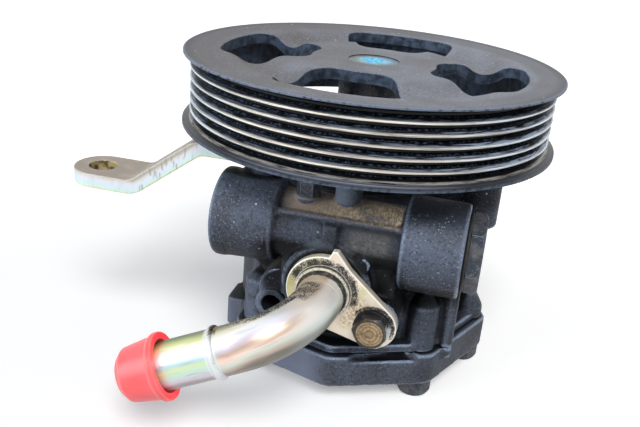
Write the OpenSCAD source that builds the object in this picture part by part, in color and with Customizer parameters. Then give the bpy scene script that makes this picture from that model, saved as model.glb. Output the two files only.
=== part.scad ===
// Power steering pump: a belt-driven vane pump with pulley, suction pipe and adjusting bracket.
// Millimetres. Z is the shaft axis, towards the pulley. X runs along the flow valve bore.
// The origin is on the shaft axis, in the middle of the belt.

/* [Pulley] */
// Radius over the two belt flanges
pulley_r = 63; // [61:0.5:66]
// Radius over the ridges between the grooves
ridge_r = 60.6; // [59.5:0.1:60.9]
// Number of belt grooves
grooves = 6; // [4:1:6]
// Distance from groove to groove
groove_pitch = 3.56; // [3.4:0.01:3.6]
// Flat width of a ridge tip and of a groove root
groove_flat = 0.6; // [0.4:0.1:0.8]
// Angle of a groove wall to the radius
groove_wall_angle = 20; // [18:1:22]
// Width of the rim along the axis
rim_w = 24.1; // [24:0.1:26]
// Inner radius of the rim
rim_in_r = 54.4; // [53.6:0.1:55]
// Thickness of the pressed web
web_t = 3.6; // [3:0.1:4]
// Depth of the round valley pressed into the web
valley_drop = 3.2; // [3:0.1:5]
// Radius at which the valley is deepest
valley_r = 39.5; // [38:0.5:41]
// Radial run from the valley's bottom to either edge
valley_run = 10.2; // [9:0.1:11]
// Number of windows through the web
windows = 4; // [3:1:4]
// Inner radius of a window
window_in_r = 21; // [20:0.5:23]
// Outer radius of a window
window_out_r = 51.2; // [51:0.1:53]
// Half of a window's angle
window_half_angle = 26; // [22:1:30]
// Corner radius of a window
window_corner_r = 6.5; // [5:0.5:7]
// Angle of the first window from the X axis
window_start_angle = -3; // [-20:1:20]
// Outer radius of the hub
hub_r = 11; // [10.5:0.1:12]

/* [Shaft and bearing] */
// Radius of the shaft in the hub and the bearing
shaft_r = 8.5; // [8.2:0.1:8.7]
// Radius of the shaft's rear journal
journal_r = 7; // [6.5:0.1:7.2]
// Outer radius of the ball bearing
bearing_r = 20; // [19.5:0.1:20.4]
// Width of the ball bearing
bearing_w = 12; // [11:0.5:12.5]
// Number of balls
balls = 8; // [7:1:8]
// Radius of a ball
ball_r = 3.35; // [3.2:0.05:3.4]

/* [Pump cartridge] */
// Radius of the cartridge bore in the housing
cartridge_r = 31; // [30.5:0.1:31.5]
// Height of the cam ring, the rotor and the vanes
cam_h = 16; // [14:0.5:16]
// Radius of the rotor
rotor_r = 19; // [18:0.1:19.2]
// Smallest radius of the cam track
cam_min_r = 19.6; // [19.4:0.1:20]
// Rise of the cam track above that radius
cam_rise = 2.8; // [2:0.1:3]
// Number of vanes
vanes = 10; // [8:1:10]
// Thickness of a vane
vane_t = 1.6; // [1.4:0.1:1.8]

/* [Housing] */
// Radius of the lower body
body_r = 40; // [39:0.5:41]
// Radius of the nose round the bearing
nose_r = 24.5; // [24:0.5:25]
// Height of the nose's top
nose_top_z = -17; // [-18:0.5:-16]
// Height of the joint between the housing and its cover
joint_z = -76; // [-77:0.5:-75]
// Thickness of the cover
cover_t = 11; // [10:0.5:12]

/* [Flow valve] */
// Distance of the valve bore in front of the shaft
valve_y = -35; // [-35.5:0.5:-34.5]
// Height of the valve bore
valve_z = -36.8; // [-37.2:0.1:-36.4]
// Radius of the valve bore
valve_bore_r = 7.5; // [7:0.1:8]
// Radius of the left boss, which holds the pressure port
left_boss_r = 14.6; // [14:0.1:15]
// Radius of the right boss, which holds the plug
right_boss_r = 15; // [14.5:0.1:15]
// Radius of the tube between the two bosses
valve_tube_r = 11; // [10.5:0.1:11.5]
// Width of the plug's hexagon across its flats
plug_flats = 22; // [19:1:24]
// Turn of the plug's hexagon
plug_turn = 12; // [0:1:59]

/* [Suction pipe] */
// Outer radius of the pipe
pipe_r = 7.25; // [7:0.05:7.5]
// Wall of the pipe
pipe_wall = 1.2; // [1:0.1:1.5]
// Bend radius of the pipe at its centre
pipe_bend_r = 22; // [20:0.5:24]
// Angle of the bend
pipe_bend = 81; // [75:1:85]
// How far the bent run points below the horizontal
pipe_droop = 23.5; // [20:0.5:25]
// Straight run from the end of the bend to the open end
pipe_run = 31; // [28:0.5:33]
// Thickness of the flange plate
flange_t = 2.8; // [2.5:0.1:5]

/* [Bracket] */
// Width of the flat bar
bar_w = 19.6; // [18:0.2:21]
// Thickness of the flat bar
bar_t = 5; // [4.5:0.1:5.2]
// Distance of the bar in front of the shaft
bar_y = -28.5; // [-30:0.5:-27]
// Position of the eye along X
eye_x = -84.8; // [-90:0.2:-80]
// Radius of the hole in the eye
eye_hole_r = 4.75; // [4:0.05:5]
// Height of the eye's underside
eye_z = -36; // [-37:0.2:-35]

/* [Hidden] */
$fn = 72;

// Colours as seen on the part
black_paint = [0.16, 0.17, 0.19];
pulley_paint = [0.25, 0.25, 0.26];
steel = [0.72, 0.73, 0.75];
bronze = [0.72, 0.52, 0.28];
zinc = [0.80, 0.77, 0.62];
rubber_black = [0.07, 0.07, 0.08];
coral_red = [0.95, 0.30, 0.30];

// Gap left in pressed and threaded fits, and in fits that run
slip = 0.02;
run = 0.03;
// Overlap that keeps a cut clear of a face
eps = 0.5;

// Pulley
rim_top_z = rim_w / 2;
groove_root_r = ridge_r - (groove_pitch / 2 - groove_flat) / tan(groove_wall_angle);
ring_drop = 1;
valley_z = rim_top_z - ring_drop - valley_drop;
hub_bottom_z = -14.5;
shaft_top_z = rim_top_z - ring_drop - 0.3;

// Shaft stack, from the nose down to the cover
bearing_top_z = nose_top_z - 4;
bearing_mid_z = bearing_top_z - bearing_w / 2;
bearing_bottom_z = bearing_top_z - bearing_w;
pitch_r = (shaft_r + bearing_r) / 2;
race_r = ball_r + 0.06;
land_gap = 1.9;
retaining_t = 1.6;
retaining_lip = 1.2;
seal_r = 16;
seal_h = 7;
seal_top_z = bearing_bottom_z - 2;
plate_h = 6;
cam_bottom_z = joint_z + 4;
cam_top_z = cam_bottom_z + cam_h;
plate_top_z = cam_top_z + plate_h;
cavity_top_z = plate_top_z + 0.3;
spline_r = 7.6;
bush_r = 9;
bush_h = 9;
shaft_bottom_z = joint_z - bush_h + 0.5;
vane_tip_r = cam_min_r - 0.1;
snap_ring_t = 1.2;

// Cover and its bolts: place of each bolt, then the heights where its column narrows and ends
cover_bottom_z = joint_z - cover_t;
bolts = [[44.2, -1, -71.8, -66], [24, 36.5, -68, -58], [-20, 38, -68, -58], [-25.6, -31.7, -60.5, -57.5],
    [30.3, -29.8, -60, -55]];
bolt_r = 3;
bolt_head_h = 6;
bolt_flats = 10;
bolt_washer_r = 5.9;
bolt_shank = cover_t + 6;
column_r = 5;
column_tip_r = 1.8;
// Square lobe of the cover that has no bolt
lobe = [[-38.4, -20.6, 2.2], [-20, -20.6, 2.2], [-20, -9, 2.2], [-38.4, -12, 2.2]];
// Upright tongue on the housing's right side, which runs on down the cover's edge
tongue = [[38.6, -26.2, 2.5], [26, -10, 4], [31, -22.5, 2.5]];
tongue_top_z = -52;
tongue_foot = 4;
// Set-back of the housing's ledge from the cover's edge
ledge_in = 2.3;
bolt_discs = [[-25.8, -32, 7], [3, -41, 7.3], [30.3, -29.8, 6.7], [45, -1, 5.6], [24, 36.5, 7], [-20, 38, 7]];
ledge_discs = [for (d = bolt_discs) [d[0], d[1], d[2] - ledge_in]];
// Pocket in the cover's top, and the lower rim in front of it
pocket = [[9.5, -44.4], [29, -36], [25, -34.5], [17, -39.5]];
pocket_rim = [[7.4, -50.5], [34.5, -39], [28.6, -34.9], [10.6, -43.2]];
pocket_depth = 6;
rim_drop = 1.8;
boss_r = 17;
boss_h = 3;
cover_ring_r = 33.6;
cover_ring_wire_r = 0.95;
dowel_r = 2;
dowel_circle_r = 26.8;

// Valve bore
left_boss_x = [-38.8, -18.3];
left_collar_w = 4;
left_collar_step = 0.3;
left_boss_taper = 0.7;
right_boss_x = [21.5, 40.3];
boss_round = 1.2;
port_r = 7.25;
port_depth = 10;
bore_left_x = -23.5;
orifice_r = 2.5;
plug_thread_r = 11;
plug_inner_x = 29;
plug_neck = 1.3;
plug_head = 4.2;
spool_x = [-23.1, 9];
spool_pocket_x = -2;
spring_r = 4.2;
spring_wire_r = 0.6;
spring_turns = 9;

// Suction side
port_z = -51.5;
pad_y = -47.8;
flange_face_y = pad_y - flange_t;
flange_bolt = [16.5, -60.3];
bend_start_y = -56.3;
collar_r = 8.7;
collar_in = 2.2;
pipe_entry = pad_y + collar_in - bend_start_y;
passage_r = 5.5;
bead_at = 6.5;
cap_overlap = 8.3;
cap_inner_r = pipe_r + 0.7;
cap_wall = 1.2;
cap_lip_r = cap_inner_r + cap_wall + 1;

// Bracket
bar_top_z = -18.6;
bend_low_x = -69;
bend_high_x = -46;
bend_r = 8;
bracket_bolt_x = -27;
bar_end_x = -16;

// Casting: lower body, its shoulder, and the ledge along the joint
body_h = 20;
shoulder_h = 10;
ledge_h = 3;
// Wall below the valve tube, web behind it, and the seam line that the mould leaves along the tube
front_wall = [[-13, -41, 3], [18, -41, 3], [18, -22.5, 3], [-13, -22.5, 3]];
front_wall_h = 22;
web_h = 14;
seam = [8.8, 6.4];
seam_r = 1.3;
// Pads, bosses and a small rib on the front
suction_pad_r = 13.6;
pad_step = 0.9;
pad_bumps = [[-2.4, -39.1, 2.6], [10.9, -42.2, 2.3]];
bolt_pad_r = 7.6;
bracket_pad_r = 6.5;
relief_boss = [2.6, valve_y - 1, 4.3];
relief_boss_h = 18;
rib = [-2.6, -47.3, valve_z - 0.4];
rib_size = [4.5, 7, 6];
gallery = [-10, valve_y - 2];
gallery_r = 2.5;
gallery_pad_r = 4.3;
gallery_top_z = valve_z + valve_tube_r + 0.3;

// Mounting points in the casting
ear = [41, 6, 8];
ear_z = [-43, -20];
ear_hole_r = 4.25;
front_boss = [-19, -65.5];
front_boss_r = 5.6;
front_boss_y = -40.5;
// Fuller casting above the front boss: place and radius
skirt = [-15.5, -60.5, 8.5];
front_hole_r = 3.4;
front_hole_depth = 11;
bracket_bolt_r = 4;
bracket_hole_depth = 9;

// Cylinders along X and Y, from the lower to the higher coordinate
module along_x(x, y, z, r) {
    translate([x[0], y, z]) rotate([0, 90, 0]) cylinder(h = x[1] - x[0], r = r);
}
module along_y(y, x, z, r) {
    translate([x, y[1], z]) rotate([90, 0, 0]) cylinder(h = y[1] - y[0], r = r);
}
module ring(r_in, r_out, z) {
    translate([0, 0, z[0]]) difference() {
        cylinder(h = z[1] - z[0], r = r_out);
        translate([0, 0, -eps]) cylinder(h = z[1] - z[0] + 2 * eps, r = r_in);
    }
}

// Outline of a belt run round discs [x, y, radius], listed anticlockwise. It cuts a hair into each disc.
belt_slack = 0.03;
function side_angle(a, b) =
    atan2(b[1] - a[1], b[0] - a[0]) - acos((a[2] - b[2]) / norm([b[0] - a[0], b[1] - a[1]]));
function rim_point(d, angle) = [d[0], d[1]] + (d[2] - belt_slack) * [cos(angle), sin(angle)];
module round_outline(discs) {
    last = len(discs) - 1;
    polygon([for (i = [0:last]) for (d = [discs[i], discs[i == last ? 0 : i + 1]])
        rim_point(d, side_angle(discs[i], discs[i == last ? 0 : i + 1]))]);
    for (d = discs) translate([d[0], d[1]]) circle(r = d[2]);
}
function arc(x, y, r, from, to, steps = 6) =
    [for (i = [0:steps]) let (a = from + (to - from) * i / steps) [x + r * cos(a), y + r * sin(a)]];

// Hexagon head on a round washer, with its shank below z = 0
module hex_bolt(r, flats, head_h, shank, washer_r) {
    washer_h = 1.2;
    chamfer_r = flats / 2.1;
    translate([0, 0, -shank]) cylinder(h = shank + eps, r = r - slip);
    cylinder(h = washer_h, r = washer_r);
    intersection() {
        cylinder(h = head_h, r = flats / sqrt(3), $fn = 6);
        cylinder(h = head_h, r1 = chamfer_r + head_h, r2 = chamfer_r);
    }
}

// The pressed web: a plain ring, a round valley and a level plateau, drawn as the upper side's outline.
// The valley is made of four arcs that meet on a slope.
valley_angle = 2 * atan(valley_drop / valley_run);
valley_arc_r = valley_run / (2 * sin(valley_angle));
function web_side(shift, convex_r, concave_r) = let (top = rim_top_z - ring_drop - shift) concat(
    arc(valley_r + valley_run, top - convex_r, convex_r, 90, 90 + valley_angle),
    arc(valley_r, valley_z - shift + concave_r, concave_r, 270 + valley_angle, 270 - valley_angle, 10),
    arc(valley_r - valley_run, top - convex_r, convex_r, 90 - valley_angle, 90));
function groove_side(i) = let (z = (i - (grooves - 1) / 2) * groove_pitch) [
    [groove_root_r, z - groove_flat / 2], [groove_root_r, z + groove_flat / 2],
    [ridge_r, z + (groove_pitch - groove_flat) / 2], [ridge_r, z + (groove_pitch + groove_flat) / 2]];
flange_z = (grooves - 1) / 2 * groove_pitch + groove_flat / 2
    + (pulley_r - groove_root_r) * tan(groove_wall_angle);
module pulley_section() {
    half_t = web_t / 2;
    underside = web_side(web_t, valley_arc_r - half_t, valley_arc_r + half_t);
    polygon(concat(
        [[rim_in_r, -rim_top_z], [pulley_r, -rim_top_z], [pulley_r, -flange_z]],
        [for (i = [0:grooves - 1]) for (j = [0:(i < grooves - 1 ? 3 : 1)]) groove_side(i)[j]],
        [[pulley_r, flange_z], [pulley_r, rim_top_z - 0.3], [pulley_r - 0.6, rim_top_z]],
        web_side(0, valley_arc_r, valley_arc_r),
        [[shaft_r + slip, rim_top_z - ring_drop], [shaft_r + slip, rim_top_z - ring_drop - web_t]],
        [for (i = [len(underside) - 1:-1:0]) underside[i]],
        [[rim_in_r, rim_top_z - ring_drop - web_t]]));
}
// One window: a ring sector with four round corners
module window() {
    out_r = window_out_r - window_corner_r;
    in_r = window_in_r + window_corner_r;
    out_a = asin(window_corner_r / out_r);
    in_a = asin(window_corner_r / in_r);
    module sector(r, half_angle) {
        intersection() {
            difference() {
                circle(r = r[1]);
                circle(r = r[0]);
            }
            polygon([[0, 0], 2 * r[1] * [cos(half_angle), -sin(half_angle)],
                2 * r[1] * [cos(half_angle), sin(half_angle)]]);
        }
    }
    sector([window_in_r, window_out_r], window_half_angle - in_a);
    sector([in_r, window_out_r], window_half_angle - out_a);
    sector([in_r * cos(in_a), out_r * cos(out_a)], window_half_angle);
    for (side = [-1, 1]) {
        rotate(side * (window_half_angle - out_a)) translate([out_r, 0]) circle(r = window_corner_r);
        rotate(side * (window_half_angle - in_a)) translate([in_r, 0]) circle(r = window_corner_r);
    }
}
module drive_pulley() {
    color(pulley_paint) difference() {
        rotate_extrude() pulley_section();
        for (i = [0:windows - 1]) rotate(window_start_angle + i * 360 / windows)
            translate([0, 0, valley_z - 2 * web_t]) linear_extrude(4 * web_t) window();
    }
}
module pulley_hub() {
    color(steel) ring(shaft_r + slip, hub_r, [hub_bottom_z, rim_top_z - ring_drop - web_t]);
}

module drive_shaft() {
    color(steel) difference() {
        union() {
            translate([0, 0, cam_top_z + plate_h]) cylinder(h = shaft_top_z - plate_top_z, r = shaft_r);
            translate([0, 0, cam_bottom_z - 2.4]) cylinder(h = cam_h + plate_h + 3, r = spline_r);
            translate([0, 0, shaft_bottom_z]) cylinder(h = cam_bottom_z - shaft_bottom_z, r = journal_r);
        }
        translate([0, 0, shaft_top_z - 1.5]) cylinder(h = 2, r1 = 2, r2 = 4);
        ring(spline_r - 0.8, spline_r + 1, [cam_bottom_z - 0.2 - snap_ring_t, cam_bottom_z - 0.15]);
    }
}
module race(r_in, r_out) {
    rotate_extrude() difference() {
        translate([r_in, bearing_bottom_z]) square([r_out - r_in, bearing_w]);
        translate([pitch_r, bearing_mid_z]) circle(r = race_r);
    }
}
module bearing_inner_ring() {
    color(steel) race(shaft_r + slip, pitch_r - land_gap);
}
module bearing_outer_ring() {
    color(steel) race(pitch_r + land_gap, bearing_r - slip);
}
module ball_set(r) {
    for (i = [0:balls - 1]) rotate(i * 360 / balls) translate([pitch_r, 0, bearing_mid_z]) sphere(r = r);
}
module bearing_balls() {
    color(steel) ball_set(ball_r);
}
module bearing_cage() {
    cage_half_w = 4.4;
    color(bronze) difference() {
        ring(pitch_r - 1.2, pitch_r + 1.2, [bearing_mid_z - cage_half_w, bearing_mid_z + cage_half_w]);
        ball_set(ball_r + 0.05);
    }
}
// Spring ring with a gap between two eyes
module bearing_retaining_ring() {
    color(steel) difference() {
        ring(bearing_r - 2.6, bearing_r + retaining_lip - slip, [bearing_top_z, bearing_top_z + retaining_t]);
        translate([-3, -bearing_r - 3, bearing_top_z - eps]) cube([6, 8, retaining_t + 2 * eps]);
    }
}
module shaft_seal() {
    lip_r = shaft_r + run;
    bottom_z = seal_top_z - seal_h;
    color(rubber_black) rotate_extrude() polygon([[seal_r - slip, seal_top_z], [seal_r - slip, bottom_z],
        [seal_r - 2, bottom_z], [seal_r - 2.6, seal_top_z - 2], [lip_r + 1.8, seal_top_z - 2],
        [lip_r + 1.2, bottom_z + 1], [lip_r, bottom_z + 1.6], [lip_r + 0.6, seal_top_z]]);
}

module pump_rotor() {
    slot_depth = 8;
    color(steel) difference() {
        ring(spline_r + slip, rotor_r, [cam_bottom_z + run, cam_top_z - run]);
        for (i = [0:vanes - 1]) rotate(i * 360 / vanes) {
            translate([rotor_r - slot_depth, -vane_t / 2 - slip, cam_bottom_z - eps])
                cube([slot_depth + eps, vane_t + 2 * slip, cam_h + 2 * eps]);
            translate([rotor_r - slot_depth, 0, cam_bottom_z - eps]) cylinder(h = cam_h + 2 * eps, r = 1.3);
        }
    }
}
module rotor_vanes() {
    color(steel) for (i = [0:vanes - 1]) rotate(i * 360 / vanes) intersection() {
        translate([vane_tip_r - 7, -vane_t / 2, cam_bottom_z + run]) cube([7, vane_t, cam_h - 2 * run]);
        cylinder(h = 200, r = vane_tip_r, center = true);
    }
}
module rotor_snap_ring() {
    color(steel) difference() {
        ring(spline_r - 0.8 + slip, spline_r + 1.6, [cam_bottom_z - 0.15 - snap_ring_t, cam_bottom_z - 0.2]);
        translate([0, -1.5, cam_bottom_z - 3]) cube([12, 3, 4]);
    }
}
module cam_ring() {
    color(steel) difference() {
        ring(cam_min_r, cartridge_r - slip, [cam_bottom_z, cam_top_z]);
        translate([0, 0, cam_bottom_z - eps]) linear_extrude(cam_h + 2 * eps)
            round_outline([[cam_rise, 0, cam_min_r], [-cam_rise, 0, cam_min_r]]);
        dowel_holes();
    }
}
module dowel_holes() {
    for (a = [90, 270]) rotate(a) translate([dowel_circle_r, 0, joint_z - 6])
        cylinder(h = plate_top_z - joint_z + 12, r = dowel_r);
}
// Kidney-shaped ports that lie on each side of the rotor
module kidneys(z) {
    for (a = [25, 115, 205, 295]) rotate(a) translate([0, 0, z[0]]) rotate_extrude(angle = 40)
        translate([15.4, 0]) square([4.4, z[1] - z[0]]);
}
module pressure_plate() {
    color(steel) difference() {
        ring(shaft_r + 0.6, cartridge_r - slip, [cam_top_z, plate_top_z]);
        kidneys([cam_top_z - eps, plate_top_z + eps]);
        dowel_holes();
    }
}
module dowel_pins() {
    color(steel) for (a = [90, 270]) rotate(a) translate([dowel_circle_r, 0, joint_z - 5])
        cylinder(h = plate_top_z - joint_z + 4.5, r = dowel_r - slip);
}

module rear_cover() {
    color(black_paint) difference() {
        union() {
            translate([0, 0, cover_bottom_z]) linear_extrude(cover_t) {
                circle(r = body_r + 0.4);
                round_outline(bolt_discs);
                round_outline(lobe);
            }
            translate([0, 0, joint_z - tongue_foot]) linear_extrude(tongue_foot) round_outline(tongue);
            translate([0, 0, joint_z - eps]) cylinder(h = cam_bottom_z - joint_z + eps, r = cartridge_r - slip);
            translate([0, 0, cover_bottom_z - boss_h]) cylinder(h = boss_h + eps, r1 = boss_r - 2, r2 = boss_r);
        }
        translate([0, 0, joint_z - bush_h]) cylinder(h = 30, r = bush_r);
        translate([0, 0, cam_bottom_z - 3]) cylinder(h = 3 + eps, r = bush_r + 1.5);
        translate([0, 0, joint_z - pocket_depth]) linear_extrude(pocket_depth + eps) polygon(pocket);
        translate([0, 0, joint_z - rim_drop]) linear_extrude(rim_drop + eps) polygon(pocket_rim);
        kidneys([cam_bottom_z - 3, cam_bottom_z + eps]);
        ring(cover_ring_r - 1.2, cover_ring_r + 1.2, [joint_z - 2 * cover_ring_wire_r - 0.1, joint_z + eps]);
        dowel_holes();
        for (b = bolts) translate([b[0], b[1], cover_bottom_z - eps])
            cylinder(h = cover_t + 2 * eps, r = bolt_r + 0.3);
    }
}
module rear_bush() {
    color(bronze) ring(journal_r + run, bush_r - slip, [joint_z - bush_h, cam_bottom_z - 3]);
}
module cover_seal_ring() {
    color(rubber_black) rotate_extrude() translate([cover_ring_r, joint_z - cover_ring_wire_r - 0.05])
        circle(r = cover_ring_wire_r);
}
module cover_bolts() {
    color(black_paint) for (b = bolts) translate([b[0], b[1], cover_bottom_z]) mirror([0, 0, 1])
        hex_bolt(bolt_r, bolt_flats, bolt_head_h, bolt_shank, bolt_washer_r);
}

// Bosses at the two ends of the valve tube, with rounded rims. The left one has a collar and tapers.
module left_boss() {
    h = left_boss_x[1] - left_boss_x[0];
    neck_r = left_boss_r - left_collar_step;
    translate([left_boss_x[0], valve_y, valve_z]) rotate([0, 90, 0]) rotate_extrude() polygon(concat(
        [[0, 0]], arc(left_boss_r - boss_round, boss_round, boss_round, -90, 0),
        [[left_boss_r, left_collar_w - left_collar_step], [neck_r, left_collar_w],
            [neck_r - left_boss_taper, h - 1], [neck_r - left_boss_taper - 1, h], [0, h]]));
}
module right_boss() {
    h = right_boss_x[1] - right_boss_x[0];
    translate([right_boss_x[0], valve_y, valve_z]) rotate([0, 90, 0]) rotate_extrude() polygon(concat(
        [[0, 0]], arc(right_boss_r - boss_round, boss_round, boss_round, -90, 0),
        arc(right_boss_r - 0.8, h - 0.8, 0.8, 0, 90), [[0, h]]));
}
// The casting: lower body, nose, valve tube with its bosses, bolt columns and mounting points
module housing_body() {
    translate([0, 0, joint_z]) {
        cylinder(h = body_h, r = body_r);
        translate([0, 0, body_h - eps]) cylinder(h = shoulder_h, r1 = body_r, r2 = nose_r + 4);
        translate([0, 0, body_h]) cylinder(h = nose_top_z - joint_z - body_h, r = nose_r);
        linear_extrude(ledge_h) round_outline(ledge_discs);
    }
    for (b = bolts) {
        translate([b[0], b[1], joint_z]) cylinder(h = b[2] - joint_z, r = column_r);
        translate([b[0], b[1], b[2]]) cylinder(h = b[3] - b[2], r1 = column_r, r2 = column_tip_r);
    }
    along_x([left_boss_x[0] + 2, right_boss_x[0] + 2], valve_y, valve_z, valve_tube_r);
    left_boss();
    right_boss();
    translate([0, 0, valve_z - front_wall_h]) linear_extrude(front_wall_h) round_outline(front_wall);
    translate([left_boss_x[0] + 6, valve_y, valve_z - 6])
        cube([right_boss_x[1] - left_boss_x[0] - 12, 20, web_h]);
    along_x([left_boss_x[1] - eps, right_boss_x[0] + eps], valve_y - seam[0], valve_z + seam[1], seam_r);
    along_y([pad_y, -30], 0, port_z, suction_pad_r);
    along_y([pad_y + pad_step, -30], 0, port_z, suction_pad_r + 0.8);
    for (b = pad_bumps) along_y([pad_y + pad_step, -30], b[0], b[1], b[2]);
    along_y([pad_y, -30], flange_bolt[0], flange_bolt[1], bolt_pad_r);
    along_y([front_boss_y, -28], front_boss[0], front_boss[1], front_boss_r);
    along_y([front_boss_y + 1.4, -28], skirt[0], skirt[1], skirt[2]);
    translate([ear[0], ear[1], ear_z[0]]) cylinder(h = ear_z[1] - ear_z[0], r = ear[2]);
    translate([nose_r - 10, ear[1] - 6, ear_z[0] + 1])
        cube([ear[0] - nose_r + 10, 12, ear_z[1] - ear_z[0] - 5]);
    translate([bracket_bolt_x, bar_y, valve_z]) cylinder(h = bar_top_z - valve_z, r = bracket_pad_r);
    translate([relief_boss[0], relief_boss[1], valve_z]) cylinder(h = relief_boss_h, r = relief_boss[2]);
    translate([gallery[0], gallery[1], valve_z]) cylinder(h = gallery_top_z - valve_z, r = gallery_pad_r);
    translate(rib) cube(rib_size);
    translate([0, 0, joint_z]) linear_extrude(tongue_top_z - joint_z) round_outline(tongue);
}
module housing_bores() {
    feed = [-8, -29];
    suction_hole_depth = 14;
    translate([0, 0, joint_z - eps]) cylinder(h = cavity_top_z - joint_z + eps, r = cartridge_r);
    translate([0, 0, cavity_top_z - eps]) cylinder(h = 60, r = shaft_r + 1);
    translate([0, 0, seal_top_z - seal_h]) cylinder(h = seal_h + 10, r = seal_r);
    translate([0, 0, bearing_bottom_z]) cylinder(h = 40, r = bearing_r);
    ring(bearing_r - 1, bearing_r + retaining_lip, [bearing_top_z, bearing_top_z + retaining_t + 0.1]);
    for (b = bolts) translate([b[0], b[1], joint_z - eps])
        cylinder(h = bolt_shank - cover_t + 1 + eps, r = bolt_r);
    along_x([bore_left_x, right_boss_x[1] + eps], valve_y, valve_z, valve_bore_r);
    along_x([plug_inner_x - 1, right_boss_x[1] + eps], valve_y, valve_z, plug_thread_r);
    along_x([left_boss_x[0] - 3, left_boss_x[0] + port_depth], valve_y, valve_z, port_r);
    along_x([left_boss_x[0], bore_left_x + eps], valve_y, valve_z, orifice_r);
    along_y([pad_y - eps, -26], 0, port_z, passage_r);
    along_y([pad_y - eps, pad_y + collar_in + 0.2], 0, port_z, collar_r + 0.9);
    along_y([pad_y - eps, pad_y + suction_hole_depth], flange_bolt[0], flange_bolt[1], bolt_r);
    along_y([front_boss_y - eps, front_boss_y + front_hole_depth], front_boss[0], front_boss[1], front_hole_r);
    translate([feed[0], feed[1], cavity_top_z - eps]) cylinder(h = 10, r = gallery_r);
    translate([ear[0], ear[1], ear_z[0] - eps]) cylinder(h = 40, r = ear_hole_r);
    translate([bracket_bolt_x, bar_y, bar_top_z - bracket_hole_depth])
        cylinder(h = bracket_hole_depth + eps, r = bracket_bolt_r);
    translate([gallery[0], gallery[1], valve_z + 9]) cylinder(h = 10, r = gallery_r);
}
module pump_housing() {
    color(black_paint) difference() {
        housing_body();
        housing_bores();
    }
}
// Hexagon screw that closes the drilled gallery above the valve tube
module gallery_plug() {
    color(black_paint) translate([gallery[0], gallery[1], gallery_top_z])
        hex_bolt(gallery_r, 7, 5, 1.8, 3.4);
}

// Spool with two lands, a nose and a pocket for its spring
module valve_spool() {
    land_r = valve_bore_r - run;
    color(steel) difference() {
        union() {
            along_x([spool_x[0], spool_x[0] + 4], valve_y, valve_z, 4);
            along_x([spool_x[0] + 4, spool_x[0] + 13], valve_y, valve_z, land_r);
            along_x([spool_x[0] + 12, spool_x[0] + 18], valve_y, valve_z, land_r - 1.6);
            along_x([spool_x[0] + 17, spool_x[1]], valve_y, valve_z, land_r);
        }
        along_x([spool_pocket_x, spool_x[1] + eps], valve_y, valve_z, spring_r + 1.1);
    }
}
// Round wire wound along X, swept as rings of points
module valve_spring() {
    steps = 14 * spring_turns;
    sides = 8;
    length = plug_inner_x - spool_pocket_x - 2 * spring_wire_r - 0.2;
    function centre(i) = let (a = 360 * spring_turns * i / steps)
        [spool_pocket_x + spring_wire_r + 0.1 + length * i / steps, spring_r * cos(a), spring_r * sin(a)];
    points = [for (i = [0:steps]) for (j = [0:sides - 1])
        let (a = 360 * spring_turns * i / steps, b = 360 * j / sides, c = centre(i),
            out = spring_wire_r * cos(b))
        [c[0] + spring_wire_r * sin(b), c[1] + out * cos(a), c[2] + out * sin(a)]];
    color(steel) translate([0, valve_y, valve_z]) polyhedron(points, concat(
        [[for (j = [0:sides - 1]) j]], [[for (j = [sides - 1:-1:0]) steps * sides + j]],
        [for (i = [0:steps - 1]) for (j = [0:sides - 1]) let (k = (j + 1) % sides)
            [i * sides + j, (i + 1) * sides + j, (i + 1) * sides + k, i * sides + k]]));
}
module valve_plug() {
    head_x = right_boss_x[1] + plug_neck;
    color(black_paint) {
        along_x([plug_inner_x, right_boss_x[1]], valve_y, valve_z, plug_thread_r - slip);
        along_x([right_boss_x[1] - eps, head_x], valve_y, valve_z, plug_thread_r - 0.6);
        intersection() {
            translate([head_x, valve_y, valve_z]) rotate([plug_turn, 0, 0]) rotate([90, 0, 90])
                cylinder(h = plug_head, r = plug_flats / sqrt(3), $fn = 6);
            translate([head_x, valve_y, valve_z]) rotate([0, 90, 0])
                cylinder(h = plug_head, r1 = plug_flats / 2 + plug_head + 1.6, r2 = plug_flats / 2 + 0.4);
        }
    }
}
module plug_seal_ring() {
    color(rubber_black) translate([right_boss_x[1] + plug_neck / 2, valve_y, valve_z]) rotate([0, 90, 0])
        rotate_extrude() translate([plug_thread_r + 0.7, 0]) circle(r = plug_neck / 2);
}

// Places along the pipe: straight out of the flange, round the bend, then down its run
module at_bend_start() {
    translate([0, bend_start_y, port_z]) rotate([90, 0, 0]) rotate(180 + pipe_droop) children();
}
module at_bend_end() {
    at_bend_start() translate([pipe_bend_r, 0, 0]) rotate([0, pipe_bend, 0])
        translate([-pipe_bend_r, 0, 0]) children();
}
module pipe_solid(r, extra) {
    at_bend_start() translate([0, 0, -pipe_entry - extra]) cylinder(h = pipe_entry + extra + 1, r = r + 0.05);
    at_bend_start() translate([pipe_bend_r, 0, 0]) rotate([90, 0, 0]) rotate(180 - pipe_bend)
        rotate_extrude(angle = pipe_bend) translate([pipe_bend_r, 0]) circle(r = r);
    at_bend_end() cylinder(h = pipe_run + extra, r = r);
}
module suction_pipe() {
    bead_r = 1.1;
    color(zinc) difference() {
        union() {
            pipe_solid(pipe_r, 0);
            at_bend_end() translate([0, 0, bead_at]) rotate_extrude()
                translate([pipe_r - 0.3, 0]) circle(r = bead_r);
            along_y([flange_face_y - 1.6, pad_y + collar_in], 0, port_z, collar_r);
        }
        pipe_solid(pipe_r - pipe_wall, eps);
    }
}
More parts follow.
